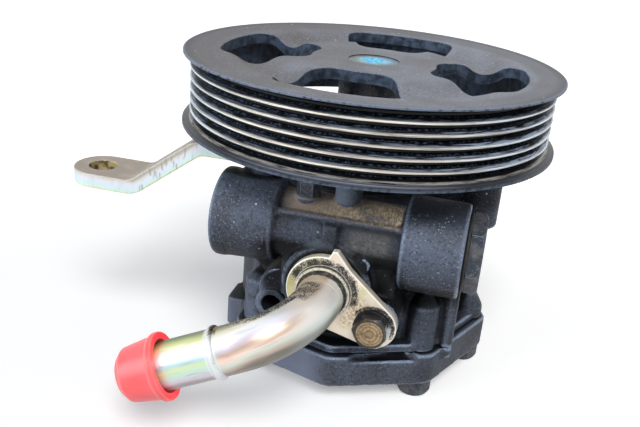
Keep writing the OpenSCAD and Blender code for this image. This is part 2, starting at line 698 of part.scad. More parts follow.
module suction_flange() {
    tab = [[0, port_z + 9], [2.6, port_z + 15.4], [8.4, port_z + 8.2], [5, port_z + 5]];
    color(zinc) difference() {
        translate([0, pad_y, 0]) rotate([90, 0, 0]) {
            linear_extrude(flange_t) polygon(tab);
            linear_extrude(flange_t) round_outline([[0, port_z, 11.8], [flange_bolt[0], flange_bolt[1], 7.5]]);
        }
        along_y([flange_face_y - eps, pad_y + eps], 0, port_z, collar_r + slip);
        along_y([flange_face_y - eps, pad_y + eps], flange_bolt[0], flange_bolt[1], bolt_r + 0.3);
    }
}
module suction_seal_ring() {
    color(rubber_black) translate([0, pad_y + 1.1, port_z]) rotate([90, 0, 0])
        rotate_extrude() translate([collar_r + 0.45, 0]) circle(r = 0.4);
}
module suction_bolt() {
    color(zinc) translate([flange_bolt[0], flange_face_y, flange_bolt[1]]) rotate([90, 0, 0])
        hex_bolt(bolt_r, bolt_flats, 4.6, flange_t + 12, bolt_washer_r);
}
// Soft cap pushed over the pipe's open end, with a lip round its mouth
module pipe_cap() {
    cap_length = 13.4;
    closed_r = cap_inner_r - 1;
    color(coral_red) at_bend_end() translate([0, 0, pipe_run - cap_overlap]) rotate_extrude() polygon([
        [cap_inner_r, 0], [cap_lip_r, 0], [cap_lip_r, 1.8], [cap_inner_r + cap_wall + 0.3, 2.2],
        [closed_r + cap_wall, cap_length - 2], [closed_r + cap_wall - 2, cap_length], [0, cap_length],
        [0, cap_length - cap_wall], [closed_r - 1.4, cap_length - cap_wall], [closed_r, cap_length - 3],
        [pipe_r + 0.12, cap_overlap + 0.3]]);
}

// Flat bar with two bends, drawn from the side, and rounded round the eye. bar_side gives the outline at
// a height above the bar's middle line.
rise_angle = atan2(bar_top_z - eye_z, bend_high_x - bend_low_x);
bend_tangent = bend_r * tan(rise_angle / 2);
bend_shift = bar_t / 2 * tan(rise_angle / 2);
function bar_side(d) = concat(
    [[eye_x - bar_w, eye_z + bar_t / 2 + d]],
    arc(bend_low_x - bend_shift - bend_tangent, eye_z + bar_t / 2 + bend_r, bend_r - d, -90, -90 + rise_angle),
    arc(bend_high_x - bend_shift + bend_tangent, bar_top_z + bar_t / 2 - bend_r, bend_r + d,
        90 + rise_angle, 90),
    [[bar_end_x, bar_top_z + bar_t / 2 + d]]);
module bracket_arm() {
    top = bar_side(bar_t / 2);
    color(zinc) difference() {
        intersection() {
            translate([0, bar_y + bar_w / 2, 0]) rotate([90, 0, 0]) linear_extrude(bar_w)
                polygon(concat(bar_side(-bar_t / 2), [for (i = [len(top) - 1:-1:0]) top[i]]));
            translate([0, 0, eye_z - eps]) linear_extrude(60)
                round_outline([[eye_x, bar_y, bar_w / 2], [bracket_bolt_x, bar_y, bar_w / 2]]);
        }
        translate([eye_x, bar_y, eye_z - eps]) cylinder(h = bar_t + 2 * eps, r = eye_hole_r);
        translate([bracket_bolt_x, bar_y, bar_top_z - eps])
            cylinder(h = bar_t + 2 * eps, r = bracket_bolt_r + 0.3);
    }
}
module bracket_bolt() {
    color(zinc) translate([bracket_bolt_x, bar_y, bar_top_z + bar_t])
        hex_bolt(bracket_bolt_r, 12, 5.5, bar_t + 8, 7.5);
}

drive_pulley();
pulley_hub();
drive_shaft();
bearing_inner_ring();
pump_rotor();
rotor_vanes();
rotor_snap_ring();
bearing_balls();
bearing_cage();
pump_housing();
bearing_outer_ring();
bearing_retaining_ring();
shaft_seal();
pressure_plate();
cam_ring();
dowel_pins();
rear_cover();
rear_bush();
cover_seal_ring();
cover_bolts();
valve_spool();
valve_spring();
valve_plug();
plug_seal_ring();
gallery_plug();
suction_pipe();
suction_flange();
suction_seal_ring();
suction_bolt();
pipe_cap();
bracket_arm();
bracket_bolt();
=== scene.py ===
import math

import bmesh
import bpy
import numpy as np
from mathutils import Matrix, Vector
from mathutils.bvhtree import BVHTree

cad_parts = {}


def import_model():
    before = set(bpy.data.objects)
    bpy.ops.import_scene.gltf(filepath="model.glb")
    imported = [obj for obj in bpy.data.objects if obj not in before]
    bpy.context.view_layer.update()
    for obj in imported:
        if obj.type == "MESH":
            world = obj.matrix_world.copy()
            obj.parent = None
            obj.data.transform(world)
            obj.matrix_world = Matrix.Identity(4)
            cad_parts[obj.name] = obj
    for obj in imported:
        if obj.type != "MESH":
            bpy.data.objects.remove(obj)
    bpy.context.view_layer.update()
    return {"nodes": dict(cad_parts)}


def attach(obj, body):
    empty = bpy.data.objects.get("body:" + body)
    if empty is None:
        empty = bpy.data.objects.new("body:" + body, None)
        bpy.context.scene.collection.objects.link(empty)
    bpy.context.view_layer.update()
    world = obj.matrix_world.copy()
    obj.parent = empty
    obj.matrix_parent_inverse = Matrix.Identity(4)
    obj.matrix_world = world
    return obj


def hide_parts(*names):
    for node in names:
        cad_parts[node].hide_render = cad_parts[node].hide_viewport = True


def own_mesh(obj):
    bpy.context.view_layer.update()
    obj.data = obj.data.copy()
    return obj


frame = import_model()
nodes = frame["nodes"]
scene = bpy.context.scene
scene.view_settings.view_transform = "Standard"

# Places and radii in the CAD, and the way that the cap's mouth faces.
MM = 0.001
FLOOR_Z = -93 * MM
VALVE_Y, VALVE_Z = -35 * MM, -36.8 * MM
PIPE_Z, BEND_Y = -51.5 * MM, -56.3 * MM
FLANGE_BOLT_X, FLANGE_BOLT_Z = 16.5 * MM, -60.3 * MM
EYE_X, EYE_Y = -84.8 * MM, -28.5 * MM
CAP_MOUTH = (0.906, 0.156, 0.394)
CHAMBER_R, CHAMBER_TOP, CHAMBER_FLOOR, NOSE_R = 31.8 * MM, -49 * MM, -86 * MM, 21.8 * MM
PLUG_R, PLUG_X, SPOOL_R, SPOOL_END_X = 11.6 * MM, 27 * MM, 8.4 * MM, -30 * MM


class Wire:
    """A shader socket in a Python expression. The operators add Math nodes."""

    def __init__(self, finish, socket):
        self.finish, self.socket = finish, socket

    def math(self, operation, *values):
        return self.finish.node("ShaderNodeMath", {"operation": operation}, *values)

    def __add__(self, other):
        return self.math("ADD", self, other)

    def __sub__(self, other):
        return self.math("SUBTRACT", self, other)

    def __rsub__(self, other):
        return self.math("SUBTRACT", other, self)

    def __mul__(self, other):
        return self.math("MULTIPLY", self, other)

    def __truediv__(self, other):
        return self.math("DIVIDE", self, other)

    def __pow__(self, other):
        return self.math("POWER", self, other)

    def __abs__(self):
        return self.math("ABSOLUTE", self)

    __radd__, __rmul__ = __add__, __mul__

    def low(self, other):
        return self.math("MINIMUM", self, other)

    def high(self, other):
        return self.math("MAXIMUM", self, other)

    def turn(self, other):
        """The angle whose sine goes with this value and whose cosine goes with the other."""
        return self.math("ARCTAN2", self, other)

    def step(self, start, end):
        """0 below start, 1 above end, smooth between. It falls instead where start is above end."""
        if start > end:
            return 1 - self.step(end, start)
        return self.finish.node("ShaderNodeMapRange", {"interpolation_type": "SMOOTHSTEP"},
                                **{"Value": self, "From Min": start, "From Max": end})


class Finish:
    """One material. node() adds any shader node and gives back its output as a Wire."""

    def __init__(self, name):
        self.material = bpy.data.materials.new(name)
        self.material.use_nodes = True
        self.tree = self.material.node_tree
        self.tree.nodes.clear()
        self.point = self.node("ShaderNodeTexCoord", out="Object")
        self.x, self.y, self.z = self.split(self.point)

    def node(self, kind, settings=None, *values, out=0, **named):
        made = self.tree.nodes.new(kind)
        for key, value in (settings or {}).items():
            if key == "stops":
                self.set_stops(made.color_ramp, value)
            else:
                setattr(made, key, value)
        for key, value in [*enumerate(values), *named.items()]:
            self.feed(made.inputs[key], value)
        return Wire(self, made.outputs[out]) if made.outputs else None

    def feed(self, socket, value):
        if isinstance(value, Wire):
            self.tree.links.new(value.socket, socket)
        elif socket.type == "RGBA":
            socket.default_value = (*value, 1)
        else:
            socket.default_value = value

    @staticmethod
    def set_stops(ramp, stops):
        while len(ramp.elements) < len(stops):
            ramp.elements.new(1)
        for element, (place, colour) in zip(ramp.elements, stops):
            element.position, element.color = place, (*colour, 1)

    def split(self, vector):
        made = self.tree.nodes.new("ShaderNodeSeparateXYZ")
        self.feed(made.inputs[0], vector)
        return [Wire(self, output) for output in made.outputs]

    def join(self, x, y, z):
        return self.node("ShaderNodeCombineXYZ", None, x, y, z)

    def noise(self, size, detail=2.0, where=None, roughness=0.5):
        """Soft noise from about 0.25 to 0.75, with features of that size in metres."""
        return self.node("ShaderNodeTexNoise", {"noise_dimensions": "3D"}, Vector=where or self.point,
                         Scale=1 / size, Detail=detail, Roughness=roughness)

    def ramp(self, value, *stops):
        """Colours along the value. Each stop is a place, then red, green and blue from 0 to 255."""
        pairs = [(place, srgb(*tint)) for place, *tint in stops]
        return self.node("ShaderNodeValToRGB", {"stops": pairs}, value)

    def mix(self, factor, low, high):
        """The colour low where the factor is 0 and high where it is 1."""
        made = self.tree.nodes.new("ShaderNodeMix")
        made.data_type = "RGBA"
        for socket, value in zip((made.inputs[0], made.inputs[6], made.inputs[7]), (factor, low, high)):
            self.feed(socket, value)
        return Wire(self, made.outputs[2])

    def stored(self, name, out="Fac"):
        """What the mesh holds under that name."""
        return self.node("ShaderNodeAttribute", {"attribute_name": name}, out=out)

    def normal(self):
        return self.split(self.node("ShaderNodeNewGeometry", out="Normal"))

    def normal_z(self):
        return self.normal()[2]

    def bump(self, height, depth, strength=1.0, normal=None):
        values = {"Height": height, "Distance": depth, "Strength": strength}
        if normal:
            values["Normal"] = normal
        return self.node("ShaderNodeBump", None, **values)

    def done(self, colour, roughness, metallic=0.0, normal=None, **fixed):
        values = {"Base Color": colour, "Roughness": roughness, "Metallic": metallic, **fixed}
        if normal:
            values["Normal"] = normal
        shader = self.node("ShaderNodeBsdfPrincipled", None, **values)
        self.node("ShaderNodeOutputMaterial", None, Surface=shader)
        return self.material


def srgb(*levels):
    """Red, green and blue from 0 to 255, as a linear colour."""
    shares = (level / 255 for level in levels)
    return tuple(share / 12.92 if share < 0.04045 else ((share + 0.055) / 1.055) ** 2.4 for share in shares)


def apart(one, two):
    """The distance that two sides at a right angle make."""
    return (one * one + two * two) ** 0.5


def specks(f, size, share, radius=0.3):
    """Small round dots: one in each cell of that size, in that share of the cells."""
    cell = f.tree.nodes.new("ShaderNodeTexVoronoi")
    f.feed(cell.inputs["Vector"], f.point)
    f.feed(cell.inputs["Scale"], 1 / size)
    chance = f.split(Wire(f, cell.outputs["Color"]))[0]
    dot = Wire(f, cell.outputs["Distance"]).step(radius, radius * 0.6)
    return dot * chance.step(1 - share, 1.01 - share)


def casting_paint(name, low, high, stains_and_light):
    """Satin black paint on a cast skin, with grain and grit. Painted light: greyer on top, pale painted
    highlights on outer edges, and painted shade that blackens hollows and corners.
    """
    f = Finish(name)
    x, z = f.x, f.z
    edge = f.stored("edge")
    hollow = f.stored("hollow")
    patches = f.noise(11 * MM, 3)
    grain = f.noise(1.1 * MM, 3, roughness=0.7)
    fine = f.noise(0.6 * MM, 2, roughness=0.7)
    # Painted light and shade: faces turned up get the lighter colour, faces turned down the darker one.
    colour = f.mix(f.normal_z().step(-0.7, 0.5), srgb(*low), srgb(*high))
    colour = f.mix(patches.step(0.42, 0.7) * 0.5, colour, srgb(60, 57, 55))
    colour = f.mix(grain.step(0.5, 0.34) * 0.55, colour, srgb(26, 28, 33))
    colour = f.mix(fine.step(0.54, 0.72) * 0.5, colour, srgb(146, 156, 176))
    # Each entry paints its tint where its place is high: some are real stains, many are painted shade or
    # painted light.
    for place, share, tint in stains_and_light:
        colour = f.mix(place(f) * share, colour, srgb(*tint))
    upper = z.step(-64 * MM, -48 * MM)
    bosses = x.step(-17 * MM, -19 * MM).high(x.step(20 * MM, 22 * MM))
    dusty = f.noise(6 * MM, 2).step(0.34, 0.6) * (0.12 + 0.88 * upper) * (0.3 + 0.7 * bosses)
    colour = f.mix(specks(f, 0.8 * MM, 0.26, 0.34) * dusty * 0.55, colour, srgb(168, 178, 196))
    colour = f.mix(specks(f, 2.0 * MM, 0.16, 0.2) * dusty, colour, srgb(232, 236, 240))
    # Painted shade: near black where the view out is blocked (hollow) and in corners where edge is below 0.
    colour = f.mix(hollow.step(0.2, 0.6) * 0.9, colour, srgb(10, 11, 13))
    colour = f.mix(edge.step(-0.12, -0.5) * 0.7, colour, srgb(14, 15, 18))
    # Painted highlight: outer edges turn pale blue and get a gloss coat, except on the tube and the column.
    on_tube = x.step(-19 * MM, -17 * MM) * x.step(21 * MM, 19 * MM) * z.step(-40 * MM, -36 * MM)
    on_column = x.step(-13 * MM, -16 * MM) * z.step(-52 * MM, -55 * MM)
    quiet = (on_tube * (0.75 + 0.25 * x.step(-12 * MM, 10 * MM))).high(on_column * 0.85)
    edge_highlight = edge.step(0.2, 0.6) * hollow.step(0.75, 0.4) * (1 - quiet)
    colour = f.mix(edge_highlight * (0.35 + 0.5 * fine.step(0.4, 0.6)), colour, srgb(150, 168, 196))
    normal = f.bump(grain, 0.4 * MM, 0.5)
    normal = f.bump(fine, 0.22 * MM, 0.6, normal)
    return f.done(colour, 0.42 + 0.16 * patches, normal=normal,
                  **{"Specular IOR Level": 0.14, "Coat Roughness": 0.22, "Coat Weight": edge_highlight * 0.8})


def oily_tube(f):
    """The upper side of the valve tube, between its bosses, with streaks along it."""
    tube = f.x.step(-18 * MM, -17 * MM) * f.x.step(21 * MM, 20 * MM) * f.z.step(-29.6 * MM, -28.6 * MM)
    level = f.normal_z().step(0.2, 0.5) * f.y.step(-30 * MM, -36 * MM)
    return tube * level * f.noise(5 * MM, 4, f.join(f.x * 0.5, f.y, f.z)).step(0.22, 0.55)


def oily_glints(f):
    """Painted gold glints on the film, low on the right."""
    thick = (f.x - 1.6 * f.y).step(52 * MM, 84 * MM)
    return oily_tube(f) * thick * f.noise(0.7 * MM, 3, f.join(f.x, f.y * 0.4, f.z)).step(0.42, 0.62)


def tube_front_shade(f):
    """Painted shade on the front of the valve tube under its ledge, darker to the right."""
    tube = f.x.step(-18 * MM, -15 * MM) * f.x.step(22 * MM, 20 * MM) * f.z.step(-29 * MM, -31 * MM)
    right_shade = 0.4 + 0.6 * f.x.step(-8 * MM, 8 * MM)
    return tube * f.z.step(-60 * MM, -54 * MM) * f.y.step(-38 * MM, -41 * MM) * right_shade


def tube_sheen(f):
    """A painted sheen: a paler place on the front of the tube, right of the tab."""
    across = f.x.step(3 * MM, 8 * MM) * f.x.step(20 * MM, 16 * MM)
    upright = f.z.step(-40 * MM, -36.5 * MM) * f.z.step(-30 * MM, -34 * MM)
    return across * upright * f.noise(0.8 * MM, 3).step(0.0, 0.8)


def lit_stub_side(f):
    """Painted light on the left side of the round stub on top of the tube."""
    side = f.normal_z().step(0.6, 0.3) * f.y.step(-31 * MM, -33 * MM) * f.z.step(-26.5 * MM, -25.5 * MM)
    return side * f.x.step(-2 * MM, -1 * MM) * f.x.step(7 * MM, 2 * MM)


def pulley_shadow(f):
    """Painted shadow of the pulley on the top of the right boss."""
    return f.x.step(20 * MM, 22 * MM) * (f.z + 0.2 * f.y).step(-37.5 * MM, -32.5 * MM)


def boss_seam(f):
    """A thin parting line round the lower side of the left boss."""
    line = abs(f.x + 33.7 * MM).step(0.4 * MM, 0.2 * MM)
    return line * f.z.step(-42 * MM, -44 * MM) * f.y.step(-35 * MM, -40 * MM)


def lobe_top_shade(f):
    """Painted shade: black on the top of the cover's corner lobe on the left."""
    return f.normal_z().step(0.7, 0.9) * f.x.step(-24 * MM, -30 * MM)


def right_flank(f):
    """The shaded right end of the cover."""
    return f.x.step(26 * MM, 36 * MM)


def pad_shade(f):
    """Painted shade: black on the ground round the suction pad, under the flange."""
    away = apart(f.x, f.z + 50 * MM)
    return away.step(27 * MM, 22 * MM) * f.y.step(-29 * MM, -33 * MM) * f.z.step(-37 * MM, -40 * MM)


def left_wall_shade(f):
    """Painted shade on the outer wall under the left boss."""
    return f.x.step(-28.5 * MM, -31.5 * MM) * f.z.step(-46 * MM, -49 * MM) * f.y.step(-5 * MM, -12 * MM)


def under_boss_shade(f):
    """Painted shade: black on the underside of the right boss and in the hollow below it."""
    below = f.z.step(-62 * MM, -57 * MM) * f.z.step(-44 * MM, -47 * MM)
    return f.x.step(19 * MM, 21 * MM) * below * f.y.step(-10 * MM, -20 * MM)


def lower_right_shade(f):
    """Painted shade on the foot of the housing on the right."""
    return f.x.step(30 * MM, 37 * MM) * f.z.step(-66 * MM, -70 * MM)


def left_side_light(f):
    """Painted light in patches on the column and pad on the left, below the boss."""
    across = f.x.step(-18 * MM, -21 * MM) * f.x.step(-31 * MM, -29 * MM)
    front = f.z.step(-55 * MM, -58 * MM) * f.y.step(-33 * MM, -36 * MM)
    return across * front * f.noise(7 * MM, 3).step(0.3, 0.5)


def lobe_front(f):
    """The corner lobe at the far left, greyer than the flank beside it."""
    return f.x.step(-31 * MM, -34 * MM)


def left_flank_light(f):
    """Painted light on the front of the cover on the left."""
    return f.x.step(4 * MM, -6 * MM) * f.normal_z().step(0.6, 0.3)


def black_steel(name):
    """Blackened steel with worn corners."""
    f = Finish(name)
    patches = f.noise(3 * MM, 3)
    rim = f.stored("rim")
    colour = f.mix(patches.step(0.4, 0.65), srgb(52, 57, 66), srgb(90, 90, 93))
    colour = f.mix(f.noise(0.6 * MM, 3).step(0.5, 0.7) * 0.5, colour, srgb(118, 124, 136))
    colour = f.mix(rim * 0.5, colour, srgb(146, 158, 180))
    return f.done(colour, 0.36 + 0.2 * patches, 0.3, f.bump(f.noise(0.6 * MM, 3), 0.12 * MM, 0.4),
                  **{"Specular IOR Level": 0.3})


def pulley_paint(name):
    """Matt grey paint on the web, dark pierced edges, and a black belt track with bright worn ridges.
    Painted light on it: a sheen to one side, shade on the rim, highlights on the window edges, reflections
    on the ridges, and bands on the lower lip.
    """
    f = Finish(name)
    x, y, z = f.x, f.y, f.z
    radius = apart(x, y)
    angle = y.turn(x)
    face = f.normal_z().step(0.3, 0.7) * z.step(0, 2 * MM)
    sparkle = f.noise(0.55 * MM, 2, roughness=0.7)
    patches = f.noise(14 * MM, 3)
    # Painted sheen: lighter and bluer towards +x, mixed with random patches.
    paint = f.mix((patches + 4 * x).step(0.25, 0.85), srgb(112, 111, 114), srgb(140, 144, 154))
    paint = f.mix(sparkle.step(0.5, 0.34) * 0.35, paint, srgb(74, 74, 78))
    paint = f.mix(sparkle.step(0.56, 0.72) * 0.55, paint, srgb(184, 184, 188))
    # Painted shade: darker rings on the sloping rim, deeper at the back.
    back_shade = y.step(-60 * MM, -25 * MM)
    paint = f.mix(radius.step(52.4 * MM, 55 * MM) * (0.1 + 0.4 * back_shade), paint, srgb(104, 103, 106))
    paint = f.mix(radius.step(58.5 * MM, 62 * MM) * back_shade * 0.6, paint, srgb(84, 84, 88))
    paint = f.mix(specks(f, 2.4 * MM, 0.12, 0.17) * 0.7, paint, srgb(206, 206, 206))
    rim = f.stored("rim")
    cut = f.mix(f.noise(3 * MM, 3).step(0.35, 0.65), srgb(34, 41, 52), srgb(70, 83, 102))
    cut = f.mix(sparkle.step(0.54, 0.7) * 0.3, cut, srgb(104, 118, 140))
    # Painted highlight: the rounded upper edges of the windows are paler.
    cut = f.mix(rim * (0.35 + 0.65 * sparkle.step(0.4, 0.6)), cut, srgb(124, 136, 156))
    groove = f.mix(f.noise(2 * MM, 2).step(0.4, 0.7), srgb(9, 10, 12), srgb(26, 28, 33))
    belt = abs(z).step(11.7 * MM, 11.3 * MM) * radius.step(56.5 * MM, 57.2 * MM)
    track = belt * abs(z).step(9.7 * MM, 9.4 * MM)
    colour = f.mix(belt, f.mix(face * (1 - rim * 0.8), cut, paint), groove)
    lines = f.noise(1, 3, f.join(0.5, z * 2800, angle * 2.5), roughness=0.75)
    threads = f.noise(1, 3, f.join(0.5, z * 5200, angle * 9), roughness=0.7)
    dots = f.noise(1, 2, f.join(0.5, z * 3400, angle * 110))
    # The worn ridges are real wear; their tone is painted reflection: bluish white on the left and right,
    # warm white between.
    left = angle.step(-1.9, -2.7)
    lower = radius.step(57.6 * MM, 58.0 * MM) * radius.step(59.0 * MM, 58.5 * MM) * track
    colour = f.mix(lower * dots.step(0.5, 0.62) * 0.75, colour, srgb(116, 132, 158))
    # Painted reflection: thin bluish lines just under each ridge, brighter on the right.
    right = angle.step(-1.3, -0.6)
    beside = radius.step(59.0 * MM, 59.4 * MM) * track * threads.step(0.44, 0.6)
    blue = f.mix(right, srgb(126, 138, 158), srgb(166, 182, 206))
    colour = f.mix(beside * (0.75 + 0.2 * right), colour, blue)
    worn = radius.step(60.0 * MM, 60.35 * MM) * track
    tone = f.mix(lines.step(0.3, 0.62), f.mix(left, srgb(150, 142, 134), srgb(140, 156, 170)),
                 f.mix(left.high(right), srgb(248, 242, 230), srgb(228, 240, 250)))
    colour = f.mix(worn * (0.45 + 0.55 * threads.step(0.3, 0.5)), colour, tone)
    # Painted light on the lower lip: pale bands as painted highlights between dark ones, and painted shade
    # on it to the left and right.
    slope = belt * z.step(-9.7 * MM, -9.9 * MM)
    lip = f.ramp((radius - 60.6 * MM) / (2.4 * MM), (0.04, 30, 32, 37), (0.2, 118, 122, 132),
                 (0.34, 44, 47, 54), (0.5, 134, 140, 152), (0.72, 84, 88, 98), (0.88, 42, 45, 52))
    aside = angle.step(-1.7, -2.2).high(angle.step(-1.3, -0.8))
    lip = f.mix(aside * 0.85, lip, srgb(34, 37, 43))
    on_lip = slope * radius.step(60.6 * MM, 60.8 * MM)
    colour = f.mix(on_lip * (0.6 + 0.4 * threads.step(0.36, 0.55)), colour, lip)
    rubbed = slope * radius.step(59.5 * MM, 59.8 * MM) * radius.step(60.9 * MM, 60.6 * MM)
    colour = f.mix(rubbed * threads.step(0.35, 0.6) * 0.8, colour, srgb(178, 172, 166))
    chips = f.noise(1.5 * MM, 3).step(0.3, 0.5)
    edge = radius.step(62.2 * MM, 62.7 * MM) * abs(z).step(10.9 * MM, 11.4 * MM) * (0.3 + 0.7 * chips)
    edge = edge * (0.25 + 0.5 * chips) * (0.3 + 0.7 * z.step(-5 * MM, 5 * MM))
    colour = f.mix(edge, colour, srgb(132, 143, 164))
    rough = 0.55 - 0.25 * belt + 0.1 * patches
    return f.done(colour, rough, 0.7 * worn, f.bump(sparkle, 0.14 * MM, 0.4),
                  **{"Specular IOR Level": 0.25})


def ground_steel(name, tint):
    f = Finish(name)
    marks = f.noise(1.5 * MM, 4)
    colour = f.mix(marks.step(0.3, 0.7), tint, tuple(0.7 * c for c in tint))
    return f.done(colour, 0.25 + 0.2 * marks, 1.0, f.bump(marks, 0.05 * MM, 0.3))


def shaft_end(name):
    """Steel with blue and green temper colours in the middle of its end, made bright as a painted
    reflection, and dark oil round them.
    """
    f = Finish(name)
    x, y = f.x, f.y
    blotch = f.noise(3.2 * MM, 3)
    # Temper colours, brightened as a painted reflection.
    tint = f.ramp(blotch + 14 * x, (0.26, 110, 140, 96), (0.4, 140, 186, 150), (0.48, 70, 180, 240),
                  (0.56, 110, 214, 255), (0.66, 120, 180, 214), (0.78, 80, 116, 150))
    tint = f.mix(specks(f, 1.1 * MM, 0.3, 0.4), tint, srgb(214, 240, 246))
    radius = apart(x, y) + 5 * MM * (blotch - 0.5)
    tint = f.mix(radius.step(3.6 * MM, 7.0 * MM) * 0.85, tint, srgb(72, 84, 90))
    tint = f.mix(f.noise(0.7 * MM, 3).step(0.5, 0.66) * 0.4, tint, srgb(60, 72, 70))
    on_top = f.z.step(9 * MM, 10 * MM)
    tint = f.mix(on_top, srgb(180, 182, 186), tint)
    return f.done(tint, 0.34, 0.9 - 0.6 * on_top, f.bump(f.noise(0.7 * MM, 3), 0.1 * MM, 0.5))


def soot_on(f, cover):
    """Black grit where cover is high, thinning out into separate grains."""
    grains = 1.1 * f.noise(0.45 * MM, 3, roughness=0.8) + 0.5 * f.noise(2.6 * MM, 3)
    return (cover + grains - 1.28).step(-0.12, 0.2)


def pipe_zinc(name):
    """Zinc with rainbow bands along the pipe, partly its own colours and partly painted highlights and
    reflections round it. The attribute unbent holds the place along and across it.
    """
    f = Finish(name)
    along, out, high = f.split(f.stored("unbent", "Vector"))
    round_it = high.turn(out)
    stretched = f.join(along * 0.12, out, high)
    drift = 0.12 * (f.noise(4 * MM, 3, stretched) - 0.5) + 0.1 * (f.noise(14 * MM, 2) - 0.5)
    level = (round_it + 0.7) / 2.4 + drift
    swung = level - 0.13 * along.step(34 * MM, 25 * MM)
    # Painted light and colour: each ramp round the pipe mixes the zinc's rainbow with painted highlights,
    # white near the top.
    bent = f.ramp(swung, (0.0, 140, 132, 122), (0.08, 200, 184, 170), (0.17, 216, 224, 212),
                  (0.28, 250, 220, 206), (0.38, 202, 174, 156), (0.46, 204, 190, 204),
                  (0.55, 228, 232, 246), (0.68, 246, 246, 242), (0.8, 226, 220, 196),
                  (0.9, 150, 150, 124), (0.97, 92, 88, 74))
    # Painted shade on the lower side before the bead.
    bent = f.mix(along.step(31 * MM, 26 * MM) * level.step(0.2, 0.04) * 0.75, bent, srgb(116, 114, 108))
    straight = f.ramp(level, (0.0, 160, 154, 158), (0.1, 214, 206, 214), (0.19, 208, 226, 224),
                      (0.27, 204, 232, 206), (0.35, 214, 228, 176), (0.42, 180, 216, 222),
                      (0.5, 228, 242, 244), (0.58, 252, 253, 250), (0.7, 250, 248, 214),
                      (0.79, 214, 218, 156), (0.87, 158, 174, 128), (0.96, 98, 110, 82))
    colour = f.mix(along.step(34 * MM, 39 * MM), bent, straight)
    streaks = f.noise(1.2 * MM, 4, stretched)
    smears = streaks.step(0.5, 0.72) * along.step(12 * MM, 18 * MM)
    colour = f.mix(smears * 0.4, colour, srgb(170, 152, 136))
    # Painted light on the elbow: pale and white bands round it.
    elbow = along.step(21 * MM, 11 * MM)
    turned = f.ramp(level, (0.08, 164, 172, 164), (0.2, 220, 230, 224), (0.32, 250, 252, 248),
                    (0.55, 252, 248, 240), (0.68, 224, 208, 190))
    colour = f.mix(elbow * 0.85, colour, turned)
    brown = abs(round_it - 0.5).step(0.36, 0.1) * abs(along - 22 * MM).step(11 * MM, 4 * MM)
    colour = f.mix(brown * (0.4 + 0.6 * streaks.step(0.4, 0.6)) * 0.85, colour, srgb(160, 142, 122))
    stain = along.step(11 * MM, 6 * MM) * round_it.step(0.72, 0.95)
    colour = f.mix(stain * (0.55 + 0.45 * f.noise(5 * MM, 3).step(0.3, 0.6)), colour, srgb(190, 172, 146))
    # The pale bead, whitened and blued as a painted highlight.
    bead = abs(along - 37.6 * MM).step(2.0 * MM, 1.2 * MM)
    colour = f.mix(bead * 0.8, colour, srgb(230, 235, 240))
    rust = abs(along - 36.4 * MM).step(2.0 * MM, 0.6 * MM)
    colour = f.mix(soot_on(f, rust * (0.3 + 0.3 * round_it.step(0.9, 1.5))), colour, srgb(96, 72, 48))
    from_axis = apart(f.x, f.z - PIPE_Z)
    collar = f.y.step(-55.4 * MM, -53.4 * MM)
    patch = (along.step(-1 * MM, 3 * MM) * along.step(15 * MM, 9 * MM) * round_it.step(0.7, 1.05)) * 0.55
    line = round_it.step(1.15, 1.45) * along.step(6 * MM, 12 * MM) * along.step(46 * MM, 22 * MM) * 0.62
    dark = soot_on(f, (collar * 0.66).high(patch).high(line))
    colour = f.mix(dark, colour, srgb(34, 34, 36))
    lip = f.y.step(-53.0 * MM, -52.7 * MM) * f.y.step(-51.5 * MM, -51.9 * MM)
    lip = lip * from_axis.step(7.95 * MM, 8.15 * MM)
    colour = f.mix(lip * (0.55 + 0.45 * f.noise(0.8 * MM, 3).step(0.4, 0.56)), colour, srgb(242, 234, 212))
    return f.done(colour, 0.28 + 0.14 * streaks + 0.4 * dark, (0.62 - 0.42 * elbow) * (1 - dark),
                  f.bump(streaks, 0.05 * MM, 0.3))


def flange_zinc(name):
    """Cream-yellow zinc with painted highlights on its rounded edges, and grit round the collar and the
    bolt.
    """
    f = Finish(name)
    x, y, z = f.x, f.y, f.z
    bands = f.noise(9 * MM, 3) - 9 * (x - 2 * MM) - 0.12 * z.step(-54 * MM, -60 * MM)
    colour = f.ramp(bands, (0.36, 250, 234, 216), (0.48, 246, 232, 208), (0.56, 228, 218, 174),
                    (0.68, 206, 196, 142))
    from_pipe = apart(x, z - PIPE_Z)
    from_bolt = apart(x - FLANGE_BOLT_X, z - FLANGE_BOLT_Z)
    front = y.step(-50.2 * MM, -50.5 * MM)
    rust = from_bolt.step(12 * MM, 8.5 * MM) * from_pipe.step(15.5 * MM, 12 * MM)
    grit = f.noise(0.7 * MM, 4, roughness=0.75)
    colour = f.mix(rust * (0.05 + 0.95 * grit.step(0.47, 0.58)) * 0.8, colour, srgb(176, 148, 82))
    above = 0.05 + 0.87 * (z + x * 0.3).step(-56 * MM, -49 * MM)
    round_pipe = from_pipe.step(13.2 * MM, 10.2 * MM) * above
    round_bolt = from_bolt.step(8.2 * MM, 6.6 * MM) * (x * 0.5 + z).step(-55 * MM, -50 * MM)
    dark = soot_on(f, (round_pipe * 0.72).high(round_bolt * 0.66).high(rust * 0.3)) * front
    colour = f.mix(dark, colour, srgb(38, 38, 42))
    rim = f.stored("rim")
    # Painted highlight: the rounded edges are near white.
    colour = f.mix(rim * 0.9, colour, srgb(250, 248, 238))
    colour = f.mix((1 - front) * (1 - rim) * 0.4, colour, srgb(176, 170, 150))
    return f.done(colour, 0.36 + 0.4 * dark, 0.3 - 0.28 * dark,
                  f.bump(f.noise(0.8 * MM, 3), 0.06 * MM, 0.4))


